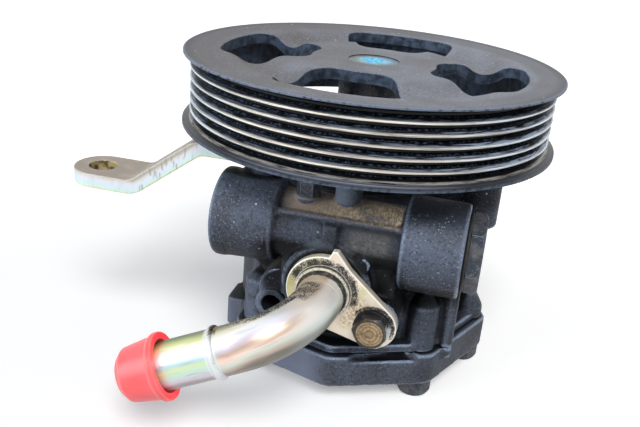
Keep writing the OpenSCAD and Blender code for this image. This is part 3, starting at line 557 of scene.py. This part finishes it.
def blunt_tip(bm):
    """Cuts the point of the flange off flat."""
    top = max(vert.co.z for vert in bm.verts) - 1.3 * MM
    cut = bmesh.ops.bisect_plane(bm, geom=[*bm.verts, *bm.edges, *bm.faces], plane_co=(0, 0, top),
                                 plane_no=(0, 0, 1), clear_outer=True)
    bmesh.ops.edgeloop_fill(bm, edges=[e for e in cut["geom_cut"] if isinstance(e, bmesh.types.BMEdge)])
    bmesh.ops.recalc_face_normals(bm, faces=bm.faces)


def rusty_bolt(name):
    """Head with turned rings, rust in the middle and grit on its sides."""
    f = Finish(name)
    x, y, z = f.x - FLANGE_BOLT_X, f.y, f.z - FLANGE_BOLT_Z
    radius = apart(x, z) + 0.35 * MM * (f.noise(0.8 * MM, 2) - 0.5)
    rings = f.ramp(radius / (5 * MM), (0.05, 162, 140, 106), (0.28, 136, 114, 86), (0.38, 190, 168, 130),
                   (0.48, 138, 114, 84), (0.6, 190, 164, 126), (0.7, 132, 112, 88), (0.79, 180, 158, 122),
                   (0.86, 56, 50, 46))
    rings = f.mix(f.noise(0.9 * MM, 3).step(0.48, 0.66) * 0.7, rings, srgb(98, 80, 60))
    head = y.step(-54.6 * MM, -55 * MM)
    rim = f.stored("rim")
    # Painted light: the sides are dark on the left and bright on the right, and the pale rim shows only on
    # the right.
    side = f.mix(x.step(-1 * MM, 3 * MM), srgb(64, 61, 58), srgb(206, 212, 214))
    dark = soot_on(f, z.step(-2 * MM, 4 * MM) * 0.85)
    side = f.mix(dark, side, srgb(36, 36, 40))
    colour = f.mix(head, side, rings)
    colour = f.mix(rim * x.step(-2 * MM, 3 * MM) * 0.6, colour, srgb(226, 226, 222))
    return f.done(colour, 0.42, 0.4, f.bump(f.noise(0.5 * MM, 3), 0.12 * MM, 0.5))


def bracket_zinc(name):
    """Satin zinc: grey-brown on the flat, silver with a faint rainbow on the edges of the bar."""
    f = Finish(name)
    x, y, z = f.x, f.y, f.z
    rise = ((x + 69 * MM) / (23 * MM)).high(0.0).low(1.0)
    depth = (z + 36 * MM - rise * 17.4 * MM) / (5 * MM)
    drift = 0.25 * (f.noise(9 * MM, 2) - 0.5)
    side = f.ramp(depth + drift, (0.0, 222, 228, 190), (0.16, 214, 236, 220), (0.36, 212, 232, 238),
                  (0.6, 226, 226, 236), (0.82, 216, 214, 208), (0.98, 180, 176, 166))
    hatch = f.noise(0.9 * MM, 4, f.join(x, y * 0.2, z * 0.3))
    bent = x.step(-72 * MM, -64 * MM) * x.step(-44 * MM, -52 * MM)
    side = f.mix(hatch.step(0.5, 0.64) * (0.12 + 0.5 * bent), side, srgb(150, 148, 138))
    top = f.ramp(f.noise(10 * MM, 4), (0.3, 150, 144, 136), (0.5, 164, 152, 140), (0.7, 184, 174, 160))
    top = f.mix(f.noise(0.6 * MM, 3).step(0.5, 0.75) * 0.35, top, srgb(140, 132, 124))
    flat = f.normal_z().step(0.45, 0.8)
    scores = f.noise(0.5 * MM, 4, f.join(x * 0.6, y * 0.12, z)).step(0.46, 0.6)
    top = f.mix(bent * scores * 0.8, top, srgb(112, 106, 98))
    bore = apart(x - EYE_X, y - EYE_Y).step(5.0 * MM, 4.8 * MM)
    inside = f.mix(f.noise(3 * MM, 2).step(0.4, 0.6), srgb(92, 78, 58), srgb(188, 172, 126))
    colour = f.mix(bore, f.mix(flat, side, top), inside)
    return f.done(colour, 0.42 + 0.12 * hatch, 0.45, f.bump(hatch, 0.05 * MM, 0.4))


def cap_plastic(name):
    """Soft red plastic with paler edges, and a painted glow: a faint red emission all over, strongest on
    the lip of the mouth.
    """
    f = Finish(name)
    cloud = f.noise(9 * MM, 2)
    rim = f.stored("rim")
    colour = f.mix(cloud.step(0.3, 0.7), srgb(255, 97, 98), srgb(255, 107, 111))
    colour = f.mix(rim * 0.5, colour, srgb(255, 142, 140))
    across, ahead, up = (share * side for share, side in zip(CAP_MOUTH, f.normal()))
    lip = (across + ahead + up).step(0.2, 0.8)
    # Painted glow: dim red on the body, bright red on the lip.
    glow = f.mix(lip, srgb(126, 34, 37), srgb(255, 44, 52))
    return f.done(colour, 0.3 + 0.08 * cloud, normal=f.bump(f.noise(1.2 * MM, 3), 0.05 * MM, 0.2),
                  **{"Subsurface Weight": 0.3, "Subsurface Radius": (1.0, 0.35, 0.3),
                     "Subsurface Scale": 2 * MM, "Emission Color": glow, "Emission Strength": 0.62})


def plain(name, colour, rough, metal=0.0):
    f = Finish(name)
    spots = f.noise(1.5 * MM, 3)
    colour = f.mix(spots.step(0.35, 0.65), colour, tuple(0.75 * c for c in colour))
    return f.done(colour, rough + 0.15 * spots, metal, f.bump(spots, 0.05 * MM, 0.3))


def apply_modifiers(piece):
    """Turns a piece's modifiers into its mesh."""
    bpy.context.view_layer.update()
    made = bpy.data.meshes.new_from_object(piece.evaluated_get(bpy.context.evaluated_depsgraph_get()))
    piece.modifiers.clear()
    piece.data = made


def add_piece(name, bm, body, finish):
    """A new piece from bm, which it uses up."""
    mesh = bpy.data.meshes.new(name)
    bm.to_mesh(mesh)
    bm.free()
    piece = bpy.data.objects.new(name, mesh)
    scene.collection.objects.link(piece)
    mesh.materials.append(finish)
    mesh.polygons.foreach_set("use_smooth", [True] * len(mesh.polygons))
    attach(piece, body)
    return piece


def merged(node):
    """A copy of a CAD node's mesh with its loose triangles joined."""
    bm = bmesh.new()
    bm.from_mesh(nodes[node].data)
    bmesh.ops.remove_doubles(bm, verts=bm.verts, dist=2e-6)
    return bm


def mark_edges(mesh, spacing):
    """Stores in edge how far each point stands out, or lies in a corner where it is below 0."""
    count = len(mesh.vertices)
    places, normals = np.zeros(3 * count), np.zeros(3 * count)
    ends = np.zeros(2 * len(mesh.edges), dtype=np.int32)
    mesh.vertices.foreach_get("co", places)
    mesh.vertices.foreach_get("normal", normals)
    mesh.edges.foreach_get("vertices", ends)
    one, two = ends.reshape(-1, 2).T
    valence = np.bincount(ends, minlength=count)

    def around(values):
        return (np.bincount(one, values[two], count) + np.bincount(two, values[one], count)) / valence

    axes = zip(places.reshape(-1, 3).T, normals.reshape(-1, 3).T)
    stand = sum((place - around(place)) * normal for place, normal in axes)
    for _ in range(3):
        stand = (stand + around(stand)) / 2
    mesh.attributes.new("edge", "FLOAT", "POINT").data.foreach_set("value", stand * 6 / spacing)


def surroundings():
    """The pieces that stand round the castings, as one tree for rays."""
    bm = bmesh.new()
    for node in ("pump_housing", "rear_cover", "suction_flange", "valve_plug", "bracket_arm",
                 "cover_bolts"):
        bm.from_mesh(nodes[node].data)
    tree = BVHTree.FromBMesh(bm)
    bm.free()
    return tree


def all_round(count):
    """That many directions, spread evenly."""
    golden_turn = math.pi * (3 - math.sqrt(5))
    looks = []
    for i in range(count):
        height = 1 - (2 * i + 1) / count
        width = math.sqrt(1 - height * height)
        looks.append(Vector((width * math.cos(i * golden_turn), width * math.sin(i * golden_turn), height)))
    return looks


def mark_hollows(mesh, tree, reach=14 * MM, lift=0.7 * MM):
    """Stores in hollow how much of the view out of each point is blocked within reach."""
    looks = all_round(48)
    shut = []
    for vert in mesh.vertices:
        start = vert.co + vert.normal * lift
        facing = [(look, look.dot(vert.normal)) for look in looks]
        facing = [(look, share) for look, share in facing if share > 0.15]
        blocked = sum(share for look, share in facing if tree.ray_cast(start, look, reach)[0] is not None)
        shut.append(blocked / sum(share for _, share in facing))
    mesh.attributes.new("hollow", "FLOAT", "POINT").data.foreach_set("value", shut)


def add_ledge(bm, start, end, radius):
    """A thin raised line of the casting's skin."""
    way = end - start
    place = Matrix.Translation((start + end) / 2) @ way.to_track_quat("Z", "Y").to_matrix().to_4x4()
    bmesh.ops.create_cone(bm, cap_ends=True, segments=10, radius1=radius, radius2=radius,
                          depth=way.length, matrix=place)


def cast_copy(node, name, machined, finish, voxel=0.6 * MM, passes=4, keep=0.42, ledges=()):
    """A node with the soft edges of a casting. Where machined(point) is true, the bored shape stays."""
    bm = merged(node)
    true_shape = BVHTree.FromBMesh(bm)
    for start, end, radius in ledges:
        add_ledge(bm, Vector(start) * MM, Vector(end) * MM, radius * MM)
    piece = add_piece(name, bm, "housing", finish)
    remesh = piece.modifiers.new("skin", "REMESH")
    remesh.mode, remesh.voxel_size = "VOXEL", voxel
    soften = piece.modifiers.new("soften", "SMOOTH")
    soften.factor, soften.iterations = 0.5, passes
    apply_modifiers(piece)
    for vert in piece.data.vertices:
        if machined(vert.co):
            vert.co = true_shape.find_nearest(vert.co)[0]
    mark_edges(piece.data, voxel)
    thin = piece.modifiers.new("thin", "DECIMATE")
    thin.ratio = keep
    apply_modifiers(piece)
    mark_hollows(piece.data, neighbours)
    piece.data.polygons.foreach_set("use_smooth", [True] * len(piece.data.polygons))
    piece.data.materials.clear()
    piece.data.materials.append(finish)
    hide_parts(node)


def rounded(node, name, width, finish, angle=35, segments=2, first=None, only=None, mark=None,
            body="housing"):
    """A node with its sharp edges rounded. The attribute rim is 1 on the rounding.

    first(bm) works on the copy before the rounding and mark(bm) after it. only(edge) picks the edges.
    """
    bm = merged(node)
    bmesh.ops.dissolve_limit(bm, angle_limit=math.radians(0.5), verts=bm.verts, edges=bm.edges)
    if first:
        first(bm)
    sharp = [e for e in bm.edges if len(e.link_faces) == 2 and e.calc_face_angle(0) > math.radians(angle)]
    made = bmesh.ops.bevel(bm, geom=[e for e in sharp if only(e)] if only else sharp, offset=width,
                           offset_type="OFFSET", segments=segments, profile=0.5, affect="EDGES",
                           clamp_overlap=True, material=-1)
    rim = bm.loops.layers.float.new("rim")
    for face in made["faces"]:
        for loop in face.loops:
            loop[rim] = 1
    if only:
        for e in bm.edges:
            e.smooth = e.calc_face_angle(0) < math.radians(angle)
    if mark:
        mark(bm)
    piece = add_piece(name, bm, body, finish)
    piece.modifiers.new("flat", "WEIGHTED_NORMAL").keep_sharp = bool(only)
    apply_modifiers(piece)
    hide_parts(node)


def on_window_rim(edge):
    """True for the upper edges of the windows in the pulley's web."""
    level = max(edge.link_faces, key=lambda face: face.normal.z)
    middle = (edge.verts[0].co + edge.verts[1].co) / 2
    wall = min(abs(face.normal.z) for face in edge.link_faces)
    return level.normal.z > 0.5 and wall < 0.1 and 20.5 * MM < middle.xy.length < 51.6 * MM


def mark_unbent(bm):
    """Stores where each point of the suction pipe would lie if the pipe were straight."""
    layer = bm.verts.layers.float_vector.new("unbent")
    ahead, droop, bend, bend_r = Vector((0, -1, 0)), math.radians(23.5), math.radians(81), 22 * MM
    aside = Vector((-math.cos(droop), 0, -math.sin(droop)))
    above = aside.cross(ahead)
    centre = Vector((0, BEND_Y, PIPE_Z)) + bend_r * aside
    for vert in bm.verts:
        arm = vert.co - centre
        turned = min(max(math.atan2(arm.dot(ahead), -arm.dot(aside)), 0), bend)
        outward = math.sin(turned) * ahead - math.cos(turned) * aside
        onward = math.cos(turned) * ahead + math.sin(turned) * aside
        vert[layer] = (bend_r * turned + arm.dot(onward), arm.dot(outward) - bend_r, arm.dot(above))


def in_housing_bores(point):
    """True in the housing's bores for the shaft, the cam ring and the valve."""
    from_shaft = math.hypot(point.x, point.y)
    from_valve = math.hypot(point.y - VALVE_Y, point.z - VALVE_Z)
    in_shaft = from_shaft < (CHAMBER_R if point.z < CHAMBER_TOP else NOSE_R)
    return in_shaft or point.x > SPOOL_END_X and from_valve < (PLUG_R if point.x > PLUG_X else SPOOL_R)


def in_cover_bores(point):
    return math.hypot(point.x, point.y) < CHAMBER_R and point.z > CHAMBER_FLOOR


# Housing: its two colours are painted shade for faces turned down and painted light for faces turned up.
# Painted shade: the tube front, the pulley's shadow on the boss, the lower right, round the pad, the left
# wall, under the right boss. Painted light: the left side, the tube's sheen, the stub's side, the glints.
casting = casting_paint("housing_paint", (64, 68, 77), (94, 102, 118), [
    (tube_front_shade, 0.75, (34, 36, 40)), (pulley_shadow, 0.75, (20, 24, 31)), (boss_seam, 0.6, (18, 19, 22)),
    (lower_right_shade, 0.55, (44, 45, 50)), (left_side_light, 0.25, (118, 131, 154)),
    (pad_shade, 0.95, (11, 12, 14)), (left_wall_shade, 0.85, (34, 37, 44)), (under_boss_shade, 0.93, (10, 11, 13)),
    (tube_sheen, 0.65, (124, 122, 118)), (lit_stub_side, 0.7, (128, 140, 156)),
    (oily_tube, 0.85, (176, 156, 136)), (oily_glints, 0.85, (250, 222, 176))])
# Cover: its two colours are painted shade and painted light for faces turned down and up; the left flank is
# painted light, the lobe top and right end painted shade.
cover_paint = casting_paint("cover_paint", (84, 88, 98), (96, 104, 120), [
    (right_flank, 0.45, (50, 51, 56)), (left_flank_light, 0.9, (138, 147, 168)),
    (lobe_front, 0.75, (92, 96, 106)), (lobe_top_shade, 0.9, (14, 15, 18))])
bolt_black = black_steel("bolt_black")
bright = ground_steel("ground_steel", (0.55, 0.56, 0.58))
rubber = plain("seal_rubber", (0.02, 0.02, 0.022), 0.6)
bronze = plain("bronze", (0.42, 0.24, 0.09), 0.35, 1.0)
finishes = {
    "drive_shaft": shaft_end("heat_tint_and_reflection_steel"),
    "shaft_seal": rubber, "cover_seal_ring": rubber, "plug_seal_ring": rubber, "suction_seal_ring": rubber,
    "bearing_cage": bronze, "rear_bush": bronze,
    "pulley_hub": bolt_black,
}
for name, piece in nodes.items():
    piece.data.materials.clear()
    piece.data.materials.append(finishes.get(name, bright))

neighbours = surroundings()
tube_ledge = ((-17, -44.75, -29.6), (21, -44.75, -29.6), 0.65)
cast_copy("pump_housing", "housing_casting", in_housing_bores, casting, ledges=[tube_ledge])
cast_copy("rear_cover", "cover_casting", in_cover_bores, cover_paint)
rounded("drive_pulley", "pulley_pressing", 0.8 * MM, pulley_paint("pulley_paint"),
        angle=40, segments=3, only=on_window_rim, body="pulley_shaft")
rounded("suction_pipe", "pipe_skin", 0.65 * MM, pipe_zinc("pipe_zinc"), mark=mark_unbent)
rounded("suction_flange", "flange_plate", 0.7 * MM, flange_zinc("flange_zinc"),
        first=blunt_tip)
rounded("suction_bolt", "flange_screw", 0.35 * MM, rusty_bolt("rusty_bolt"), angle=25)
rounded("bracket_arm", "bracket_bar", 0.9 * MM, bracket_zinc("bracket_zinc"),
        angle=50, segments=3)
rounded("bracket_bolt", "bracket_screw", 0.35 * MM, bracket_zinc("bracket_bolt_zinc"),
        angle=25)
spring = add_piece("valve_spring_coil", merged("valve_spring"), "housing", bright)
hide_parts("valve_spring")
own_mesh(spring)
for node in ("cover_bolts", "valve_plug", "gallery_plug"):
    rounded(node, node + "_worn", 0.4 * MM, bolt_black, angle=25)
rounded("pipe_cap", "cap_moulding", 0.5 * MM, cap_plastic("cap_moulded"),
        angle=25, segments=3)


def seen_rays(tree):
    """1 for what the camera sees, straight, mirrored or through something, and 0 for light on its way."""
    path = tree.nodes.new("ShaderNodeLightPath")
    last = path.outputs["Is Camera Ray"]
    for name in ("Is Glossy Ray", "Is Transmission Ray"):
        most = tree.nodes.new("ShaderNodeMath")
        most.operation = "MAXIMUM"
        tree.links.new(last, most.inputs[0])
        tree.links.new(path.outputs[name], most.inputs[1])
        last = most.outputs[0]
    return last


def floor():
    """A pale floor with a painted shadow: it glows a little less round the place that the pump shades."""
    bm = bmesh.new()
    bmesh.ops.create_grid(bm, x_segments=1, y_segments=1, size=4)
    bmesh.ops.translate(bm, verts=bm.verts, vec=(0, 0, FLOOR_Z))
    mesh = bpy.data.meshes.new("floor")
    bm.to_mesh(mesh)
    bm.free()
    ground = bpy.data.objects.new("floor", mesh)
    scene.collection.objects.link(ground)
    f = Finish("floor_white")
    seen = Wire(f, seen_rays(f.tree))
    as_light, as_seen = (0.5, 0.5, 0.5), (0.92, 0.92, 0.92)
    matt = f.node("ShaderNodeBsdfDiffuse", None, Color=f.mix(seen, as_light, as_seen))
    # Painted shadow: less glow in a round patch left of the pump.
    shade = apart(f.x + 95 * MM, f.y + 20 * MM).step(170 * MM, 40 * MM)
    glow = f.node("ShaderNodeEmission", None, Color=(1, 1, 1), Strength=seen * (0.38 - 0.16 * shade))
    both = f.node("ShaderNodeAddShader", None, matt, glow)
    f.node("ShaderNodeOutputMaterial", None, Surface=both)
    mesh.materials.append(f.material)


def world(ambient=0.18):
    """White where it is seen, and a low light from all sides."""
    made = bpy.data.worlds.new("studio")
    scene.world = made
    made.use_nodes = True
    tree = made.node_tree
    tree.nodes.clear()
    background = tree.nodes.new("ShaderNodeBackground")
    background.inputs["Color"].default_value = (1, 1, 1, 1)
    output = tree.nodes.new("ShaderNodeOutputWorld")
    level = tree.nodes.new("ShaderNodeMapRange")
    level.inputs["To Min"].default_value = ambient
    level.inputs["To Max"].default_value = 1.0
    tree.links.new(seen_rays(tree), level.inputs["Value"])
    tree.links.new(level.outputs[0], background.inputs["Strength"])
    tree.links.new(background.outputs[0], output.inputs["Surface"])


def sun(name, toward, spread, strength, colour=(1, 1, 1)):
    """A wide, even light from that direction."""
    light = bpy.data.lights.new(name, "SUN")
    light.angle, light.energy, light.color = math.radians(spread), strength, colour
    holder = bpy.data.objects.new(name, light)
    holder.rotation_euler = Vector(toward).to_track_quat("Z", "Y").to_euler()
    scene.collection.objects.link(holder)


def camera():
    """The photo's camera, from its focal length and width in pixels, its place and how it is turned."""
    sensor, focal, width = 36, 791.45, 640
    place = (42.4 * MM, -261.6 * MM, 64.4 * MM)
    lens = bpy.data.cameras.new("camera")
    lens.sensor_width, lens.lens = sensor, sensor * focal / width
    lens.clip_start = 0.01
    holder = bpy.data.objects.new("camera", lens)
    yaw, pitch, roll, turn = (math.radians(a) for a in (-2.92, -22.68, -5.02, 9.2))
    ahead = Vector((math.sin(yaw) * math.cos(pitch), math.cos(yaw) * math.cos(pitch), math.sin(pitch)))
    right = Vector((math.cos(yaw), -math.sin(yaw), 0))
    down = ahead.cross(right)
    across = math.cos(roll) * right + math.sin(roll) * down
    below = math.cos(roll) * down - math.sin(roll) * right
    axes = Matrix((across, -below, -ahead)).transposed().to_4x4()
    holder.matrix_world = Matrix.Translation(place) @ Matrix.Rotation(turn, 4, "Z") @ axes
    scene.collection.objects.link(holder)
    scene.camera = holder


floor()
world()
sun("key", toward=(0.22, -0.58, 0.78), spread=28, strength=2.05)
sun("fill", toward=(-0.77, -0.57, 0.28), spread=40, strength=1.85, colour=(0.84, 0.92, 1.0))
camera()
